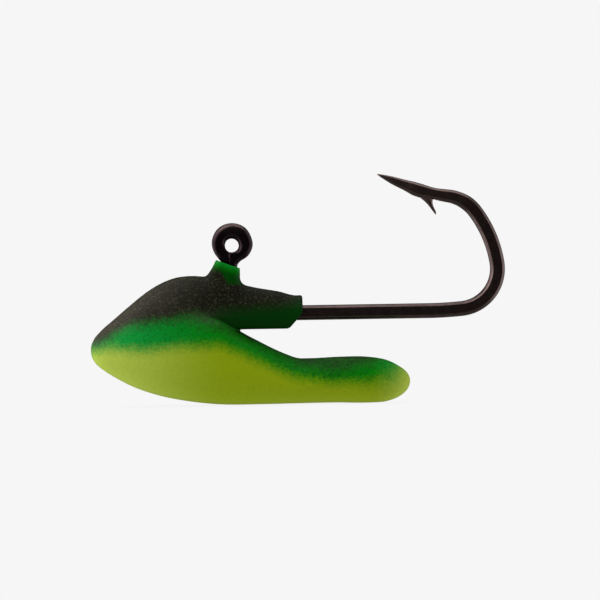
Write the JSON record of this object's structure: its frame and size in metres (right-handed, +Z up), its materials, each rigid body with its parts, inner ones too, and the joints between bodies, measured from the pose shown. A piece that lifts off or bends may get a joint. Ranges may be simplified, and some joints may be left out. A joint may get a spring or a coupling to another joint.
{
  "type": "jig head",
  "caption": "Stand-up fishing jig head: flat-soled, powder-painted lead cast round a barbed wide-gap hook, with a line-tie eye and a bait collar.",
  "frame": {"origin": "centre of the line-tie eye, on the plane of symmetry", "axes": "+X runs aft along the hook's shank towards the bend, +Y is across the head, +Z is up from the flat sole to the eye"},
  "size_m": [0.0414, 0.0062, 0.0228],
  "materials": {
    "hook_wire": "black nickel, satin gloss",
    "cast_lead": "dull as cast",
    "powder_paint": "satin powder coat, chartreuse fading to green and black"
  },
  "bodies": {
    "root": {"hook": "hook_wire", "lead_head": "cast_lead", "paint_coat": "powder_paint"}
  },
  "joints": []
}
